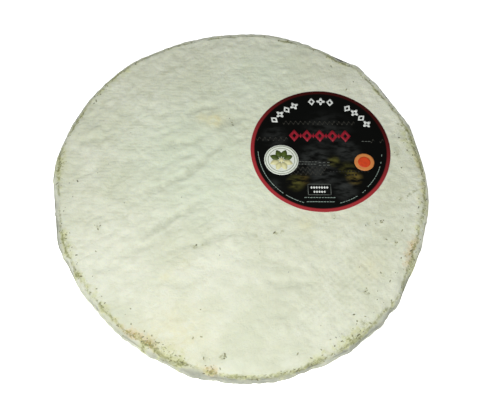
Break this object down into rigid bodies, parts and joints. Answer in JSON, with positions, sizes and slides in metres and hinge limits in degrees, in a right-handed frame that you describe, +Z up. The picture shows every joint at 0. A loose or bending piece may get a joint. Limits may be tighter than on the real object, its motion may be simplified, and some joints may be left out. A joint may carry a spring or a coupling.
{
  "type": "cheese wheel",
  "caption": "Whole round wheel of soft white-rinded cheese: a low flat disc with a slumped, rounded side and a round paper label lying off-centre on its top face.",
  "frame": {"origin": "middle of the resting face: the centre of the bounding box at its lowest level", "axes": "+Z up, out of the top face that carries the label; -Y is the side facing the viewer and +X is to the viewer's right when the label's ornaments stand upright"},
  "size_m": [0.362, 0.3708, 0.0291],
  "materials": {
    "rind": "matt, powdery white mould over the cross-ribbed print of a draining mat, with ochre and olive spots along the top edge",
    "label_print": "coated paper printed black inside a red border, with plain white, red and orange ornaments"
  },
  "bodies": {
    "root": {"cheese_wheel": "rind", "paper_label": "label_print"}
  },
  "joints": []
}
